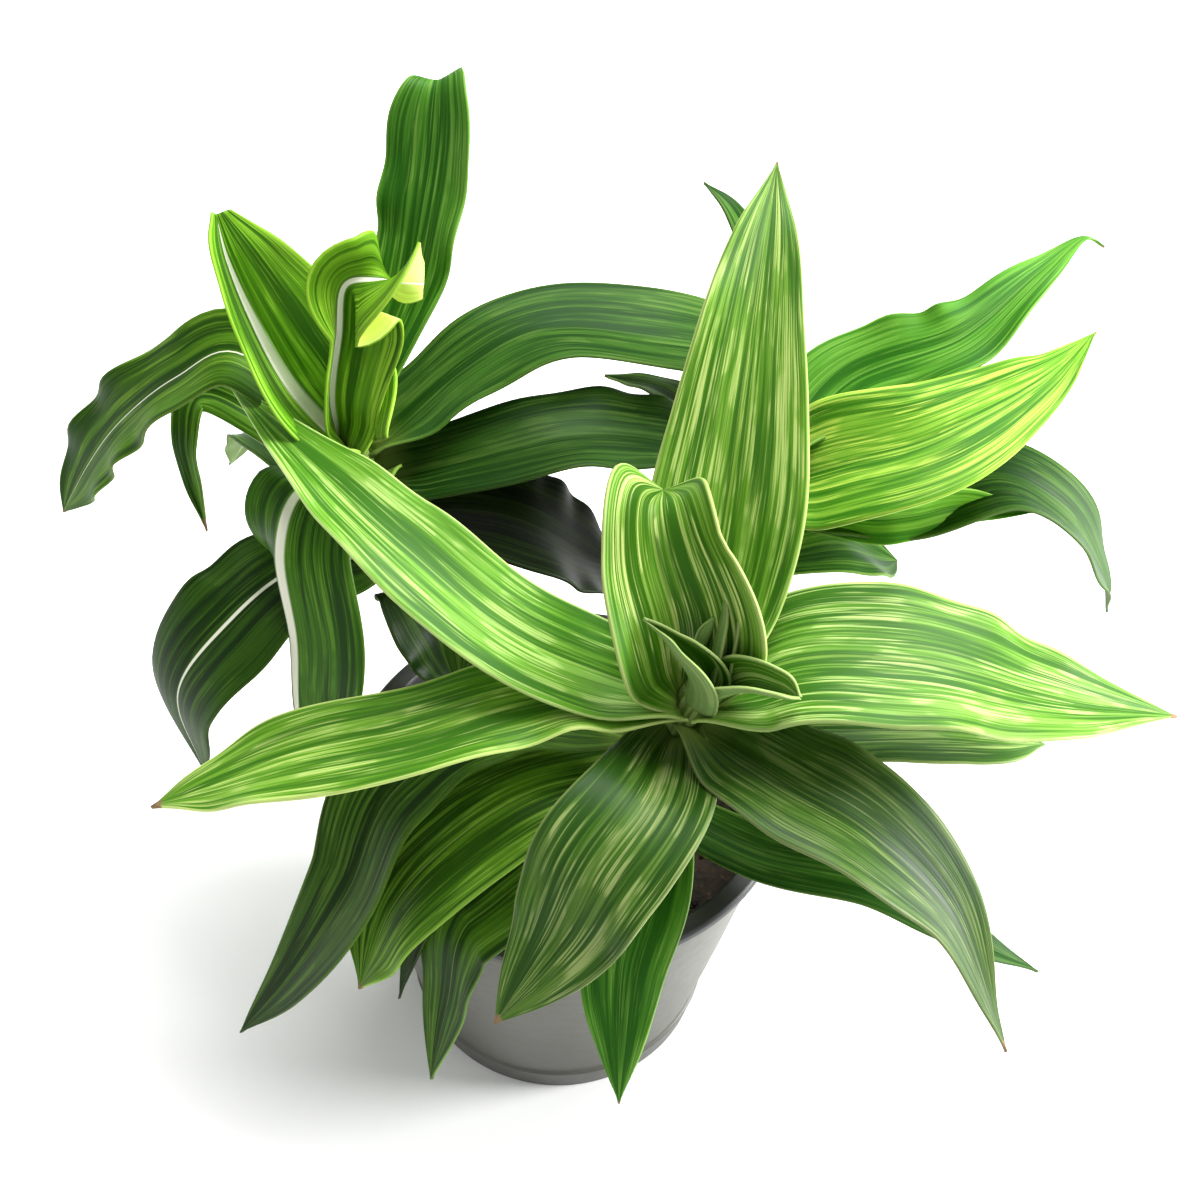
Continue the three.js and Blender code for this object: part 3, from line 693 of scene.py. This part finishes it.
def make_stem(name, shoot):
    foot, crown = Vector(shoot["foot"]), Vector(shoot["crown"])
    axis = crown - foot
    deselect_all()
    bpy.ops.mesh.primitive_cylinder_add(vertices=24, radius=1, depth=1, end_fill_type="TRIFAN")
    piece = bpy.context.object
    bpy.ops.object.mode_set(mode="EDIT")
    bpy.ops.mesh.select_all(action="DESELECT")
    bpy.ops.object.mode_set(mode="OBJECT")
    corners = piece.data.vertices
    for edge in piece.data.edges:
        low, high = edge.vertices
        edge.select = abs(corners[low].co.z - corners[high].co.z) > 0.5
    bpy.ops.object.mode_set(mode="EDIT")
    bpy.ops.mesh.select_mode(type="EDGE")
    bpy.ops.mesh.subdivide(number_cuts=STEM_RINGS)
    bpy.ops.object.mode_set(mode="OBJECT")
    mesh = piece.data
    co = np.zeros(len(mesh.vertices) * 3)
    mesh.vertices.foreach_get("co", co)
    co = co.reshape(-1, 3)
    along = co[:, 2] + 0.5
    angle = np.arctan2(co[:, 1], co[:, 0])
    length = axis.length
    joint = (along * length / STEM_JOINT) % 1
    swell = 1 + 0.10 * smoothstep(0.75, 0.97, joint) - 0.05 * smoothstep(0.97, 1.0, joint)
    radius = shoot["radius"] * (1 + (STEM_TAPER - 1) * along) * swell * 0.93
    turn = Vector((0, 0, 1)).rotation_difference(axis.normalized()).to_matrix()
    local = np.stack([co[:, 0] * radius, co[:, 1] * radius, along * length], axis=1)
    places = local @ np.array(turn).T + np.array(foot)
    mesh.vertices.foreach_set("co", (places * MM).ravel())
    spots = np.stack([angle / np.pi, along, np.full(len(along), shoot["radius"])], axis=1)
    put_attribute(mesh, "blade", spots)
    deselect_all()
    piece.select_set(True)
    bpy.ops.object.shade_smooth_by_angle(angle=math.radians(50))
    if "stem" not in FINISHES:
        FINISHES["stem"] = stem_finish()
    hand_over(piece, f"{name}_stalk", f"{name}_stem", FINISHES["stem"])


# ---- Pots and soil ----

POT_HEIGHT = 101
POT_RIM = 63.5
POT_FOOT = 46
FOOT_BAND = 9.5
POT_WALL = 2
LINER_RIM = 65.2
LINER_SHIFT = 0.8
LINER_WALL = 1.2
LINER_CLEARANCE = 1.5  # from the outer pot's inside
LINER_SEAT = 0.3  # from the outer pot's rim up to the liner's


def pot_radius(z):
    return POT_FOOT + (POT_RIM - POT_FOOT) * z / POT_HEIGHT


def outer_pot_profile():
    return [
        (20, 1.2),
        (42.5, 1.2),
        (43.5, 0),
        (POT_FOOT, 0),
        (pot_radius(FOOT_BAND), FOOT_BAND),
        (pot_radius(FOOT_BAND) + 0.3, FOOT_BAND + 0.5),
        (pot_radius(FOOT_BAND) - 0.7, FOOT_BAND + 1.4),
        (pot_radius(50) - 0.2, 50),
        (POT_RIM - 0.6, 96.4),
        (POT_RIM, 97),
        (POT_RIM, POT_HEIGHT),
        (POT_RIM - POT_WALL, POT_HEIGHT),
        (pot_radius(50) - POT_WALL, 50),
        (pot_radius(3) - POT_WALL, 3),
        (10, 3),
    ]


def liner_profile():
    def outer(z):
        return pot_radius(z) - POT_WALL - LINER_CLEARANCE

    rim_z = POT_HEIGHT + LINER_SEAT
    return [
        (20, 3.3),
        (outer(3.3), 3.3),
        (outer(60), 60),
        (outer(rim_z), rim_z),
        (LINER_RIM, rim_z),
        (LINER_RIM, rim_z + 2.2),
        (LINER_RIM - 0.9, rim_z + 3),
        (outer(rim_z) - LINER_WALL + 0.8, rim_z + 3),
        (outer(rim_z) - LINER_WALL, rim_z + 1.6),
        (outer(60) - LINER_WALL, 60),
        (outer(5) - LINER_WALL, 4.7),
        (10, 4.7),
    ]


def make_outer_pot(colour):
    piece = turned(outer_pot_profile(), 0, 128)
    round_edges(piece, 0.5)
    scuff = (colour[0] * 0.9, colour[1] * 0.9, colour[2] * 0.88)
    # FOOT_BAND also sets where the painted shade at the pot's foot begins.
    material = plastic_finish("grey_pot_plastic", colour, scuff, 0.34, 0.6, FOOT_BAND)
    hand_over(piece, "grey_pot", "outer_pot", material)


def make_liner_pot(colour):
    piece = turned(liner_profile(), LINER_SHIFT, 128)
    round_edges(piece, 0.35)
    material = plastic_finish("black_liner_plastic", colour, (58, 58, 60), 0.42, 0.35)
    hand_over(piece, "black_liner", "liner_pot", material)


SOIL_RADIUS = 55.2
SOIL_FLOOR = 5.0
SOIL_CLEARANCE = 0.4
SOIL_RINGS = 26  # rings in the soil's top, each inset by the same part of its radius
SOIL_RING = 0.0365
CRUMBS = 420


def soil_height(x, y):
    """Height of the soil's top, in millimetres: a low mound with clods."""
    place = Vector((x / 11, y / 11, 3.7))
    clods = noise.noise(place) * 1.3 + noise.noise(place * 3.1) * 0.7
    reach = math.hypot(x - LINER_SHIFT, y) / SOIL_RADIUS
    return SOIL_TOP - 1.6 - 2.0 * reach**2 + clods


def make_soil():
    deselect_all()
    bpy.ops.mesh.primitive_cylinder_add(vertices=96, radius=1, depth=1, end_fill_type="NGON")
    piece = bpy.context.object
    mesh = piece.data
    bpy.ops.object.mode_set(mode="EDIT")
    bpy.ops.mesh.select_all(action="DESELECT")
    bpy.ops.object.mode_set(mode="OBJECT")
    for face in mesh.polygons:
        face.select = face.normal.z > 0.9
    bpy.ops.object.mode_set(mode="EDIT")
    bpy.ops.mesh.select_mode(type="FACE")
    for _ in range(SOIL_RINGS):
        bpy.ops.mesh.inset(thickness=SOIL_RING, depth=0)
    bpy.ops.object.mode_set(mode="OBJECT")
    floor_radius = pot_radius(SOIL_FLOOR) - POT_WALL - LINER_CLEARANCE - LINER_WALL - SOIL_CLEARANCE
    for vertex in mesh.vertices:
        x, y, z = vertex.co
        if z < 0:
            place = (x * floor_radius + LINER_SHIFT, y * floor_radius, SOIL_FLOOR)
        else:
            px, py = x * SOIL_RADIUS + LINER_SHIFT, y * SOIL_RADIUS
            place = (px, py, soil_height(px, py))
        vertex.co = Vector(place) * MM
    deselect_all()
    piece.select_set(True)
    bpy.ops.object.shade_smooth_by_angle(angle=math.radians(60))
    crumbs = make_crumbs()
    deselect_all()
    crumbs.select_set(True)
    piece.select_set(True)
    bpy.context.view_layer.objects.active = piece
    bpy.ops.object.join()
    hand_over(piece, "potting_mix", "soil", soil_finish())


def make_crumbs():
    """Crumbs and bark chips that lie on the soil: one small stone shape, copied."""
    random = np.random.default_rng(7)
    deselect_all()
    bpy.ops.mesh.primitive_ico_sphere_add(subdivisions=2, radius=1)
    crumb = bpy.context.object
    shape = np.array([v.co[:] for v in crumb.data.vertices])
    faces = np.array([p.vertices[:] for p in crumb.data.polygons])
    all_points, all_faces = [], []
    for number in range(CRUMBS):
        reach = SOIL_RADIUS * 0.985 * math.sqrt(random.uniform(0, 1))
        turn = random.uniform(0, 2 * math.pi)
        x, y = reach * math.cos(turn) * 0.97 + LINER_SHIFT, reach * math.sin(turn) * 0.97
        size = random.uniform(0.6, 1.9) if number % 5 else random.uniform(1.6, 2.8)
        stretch = random.uniform(0.55, 1.3, 3) * size
        lumps = 1 + 0.18 * np.array([noise.noise(Vector(p) * 1.7 + Vector((number, 0, 0))) for p in shape])
        spin = Matrix.Rotation(random.uniform(0, 6.28), 3, "Z")
        tip = Matrix.Rotation(random.uniform(-0.6, 0.6), 3, "X")
        turned_shape = (shape * stretch * lumps[:, None]) @ np.array(spin @ tip).T
        centre = np.array([x, y, soil_height(x, y) + stretch[2] * 0.3])
        all_faces.append(faces + len(shape) * number)
        all_points.append(turned_shape + centre)
    mesh = bpy.data.meshes.new("crumbs")
    mesh.from_pydata((np.concatenate(all_points) * MM).tolist(), [], np.concatenate(all_faces).tolist())
    old = crumb.data
    crumb.data = mesh
    bpy.data.meshes.remove(old)
    return crumb


# ---- Stage ----

FOCAL_LENGTH = 57.0
CAMERA_PLACE = (0.008, -0.342, 0.554)
CAMERA_TILT = 47.5  # degrees below the horizon
CAMERA_ROLL = 2.9
SKY_STRENGTH = 0.6
SIDE_SHARE = 0.95  # the side light's power as a part of the key light's


def make_camera():
    camera_data = bpy.data.cameras.new("camera")
    camera_data.lens = FOCAL_LENGTH
    camera_data.sensor_width = 36
    camera_data.clip_start = 0.01
    camera = bpy.data.objects.new("camera", camera_data)
    bpy.context.scene.collection.objects.link(camera)
    tilt = Matrix.Rotation(math.radians(90 - CAMERA_TILT), 4, "X")
    roll = Matrix.Rotation(math.radians(CAMERA_ROLL), 4, "Z")
    camera.matrix_world = Matrix.Translation(CAMERA_PLACE) @ tilt @ roll
    bpy.context.scene.camera = camera


def make_light(name, place, target, size, power):
    light = bpy.data.lights.new(name, "AREA")
    light.shape = "DISK"
    light.size = size
    light.energy = power
    lamp = bpy.data.objects.new(name, light)
    bpy.context.scene.collection.objects.link(lamp)
    lamp.location = place
    lamp.rotation_euler = (Vector(target) - Vector(place)).to_track_quat("-Z", "Y").to_euler()


def make_stage(floor_colour, key_power):
    deselect_all()
    bpy.ops.mesh.primitive_plane_add(size=12, location=(0, 0, 0))
    floor = bpy.context.object
    floor.name = "floor"
    paper = Finish("pale_floor")
    floor.data.materials.append(paper.finish(base_color=tuple(floor_colour), roughness=0.9))
    world = bpy.data.worlds.new("studio")
    world.use_nodes = True
    world.node_tree.nodes["Background"].inputs["Color"].default_value = (1, 1, 1, 1)
    world.node_tree.nodes["Background"].inputs["Strength"].default_value = SKY_STRENGTH
    bpy.context.scene.world = world
    bpy.context.scene.view_settings.view_transform = "Standard"
    make_light("key", (0.35, 0.55, 1.4), (0, 0, 0.12), 1.3, key_power)
    make_light("side", (1.3, 0.1, 0.45), (0, 0, 0.08), 0.6, key_power * SIDE_SHARE)
    make_camera()


# ---- Add-on ----


class CallisiaPotSettings(bpy.types.PropertyGroup):
    # Painted shade: the default is much darker than the pot's own light grey, to stand for the shade that the
    # leaves cast on its front.
    pot_colour_with_painted_shade: bpy.props.FloatVectorProperty(
        name="Pot colour", description="Display colour of the outer pot, 0 to 255", size=3,
        default=(78, 78, 72),
    )
    liner_colour: bpy.props.FloatVectorProperty(
        name="Liner colour", description="Display colour of the liner pot, 0 to 255", size=3,
        default=(24, 24, 27),
    )


class CallisiaLeafSettings(bpy.types.PropertyGroup):
    thickness: bpy.props.FloatProperty(
        name="Leaf thickness", description="Thickness of a leaf in millimetres",
        default=LEAF_THICKNESS, min=0.3,
    )


class CallisiaStageSettings(bpy.types.PropertyGroup):
    floor_colour: bpy.props.FloatVectorProperty(
        name="Floor colour", description="Colour of the floor", subtype="COLOR", default=(1.0, 1.0, 1.0)
    )
    key_power: bpy.props.FloatProperty(
        name="Key light", description="Power of the main light", unit="POWER", default=40.0, min=0.0
    )


class PotOuterOperator(bpy.types.Operator):
    """Builds the grey outer pot"""

    bl_idname = "callisia.outer_pot"
    bl_label = "Outer Pot"

    def execute(self, context):
        make_outer_pot(tuple(context.scene.callisia_pot.pot_colour_with_painted_shade))
        return {"FINISHED"}


class PotLinerOperator(bpy.types.Operator):
    """Builds the black liner pot"""

    bl_idname = "callisia.liner_pot"
    bl_label = "Liner Pot"

    def execute(self, context):
        make_liner_pot(tuple(context.scene.callisia_pot.liner_colour))
        return {"FINISHED"}


class SoilOperator(bpy.types.Operator):
    """Builds the soil with its crumbs"""

    bl_idname = "callisia.soil"
    bl_label = "Soil"

    def execute(self, context):
        make_soil()
        return {"FINISHED"}


class StemsOperator(bpy.types.Operator):
    """Builds the three stems"""

    bl_idname = "callisia.stems"
    bl_label = "Stems"

    def execute(self, context):
        for name, shoot in SHOOTS.items():
            make_stem(name, shoot)
        return {"FINISHED"}


class LeavesOperator(bpy.types.Operator):
    """Builds the leaves of one shoot"""

    bl_idname = "callisia.leaves"
    bl_label = "Leaves"

    shoot: bpy.props.EnumProperty(
        name="Shoot",
        description="The shoot whose leaves are built",
        items=[(name, name.title(), f"Leaves of the {name} shoot") for name in SHOOTS],
    )

    def execute(self, context):
        make_leaves(self.shoot, context.scene.callisia_leaf.thickness)
        return {"FINISHED"}


class StageOperator(bpy.types.Operator):
    """Sets up the floor, lights and camera"""

    bl_idname = "callisia.stage"
    bl_label = "Stage"

    def execute(self, context):
        settings = context.scene.callisia_stage
        make_stage(settings.floor_colour, settings.key_power)
        return {"FINISHED"}


class CallisiaPanel(bpy.types.Panel):
    """Lists the pieces of the plant"""

    bl_idname = "VIEW3D_PT_callisia"
    bl_label = "Potted Callisia"
    bl_space_type = "VIEW_3D"
    bl_region_type = "UI"
    bl_category = "Callisia"

    def draw(self, context):
        layout = self.layout
        scene = context.scene
        layout.prop(scene.callisia_pot, "pot_colour_with_painted_shade")
        layout.prop(scene.callisia_pot, "liner_colour")
        layout.prop(scene.callisia_leaf, "thickness")
        layout.prop(scene.callisia_stage, "floor_colour")
        layout.prop(scene.callisia_stage, "key_power")
        for operator in (StageOperator, PotOuterOperator, PotLinerOperator, SoilOperator, StemsOperator):
            layout.operator(operator.bl_idname)
        for name in SHOOTS:
            layout.operator(LeavesOperator.bl_idname, text=f"{name.title()} leaves").shoot = name


SETTINGS = {
    "callisia_pot": CallisiaPotSettings,
    "callisia_leaf": CallisiaLeafSettings,
    "callisia_stage": CallisiaStageSettings,
}
CLASSES = (
    *SETTINGS.values(), PotOuterOperator, PotLinerOperator, SoilOperator, StemsOperator, LeavesOperator,
    StageOperator, CallisiaPanel,
)


def register():
    for cls in CLASSES:
        bpy.utils.register_class(cls)
    for name, cls in SETTINGS.items():
        setattr(bpy.types.Scene, name, bpy.props.PointerProperty(type=cls))


def unregister():
    for name in SETTINGS:
        delattr(bpy.types.Scene, name)
    for cls in reversed(CLASSES):
        bpy.utils.unregister_class(cls)


def main():
    register()
    bpy.ops.callisia.stage()
    bpy.ops.callisia.outer_pot()
    bpy.ops.callisia.liner_pot()
    bpy.ops.callisia.soil()
    bpy.ops.callisia.stems()
    for name in SHOOTS:
        bpy.ops.callisia.leaves(shoot=name)


if __name__ == "__main__":
    main()
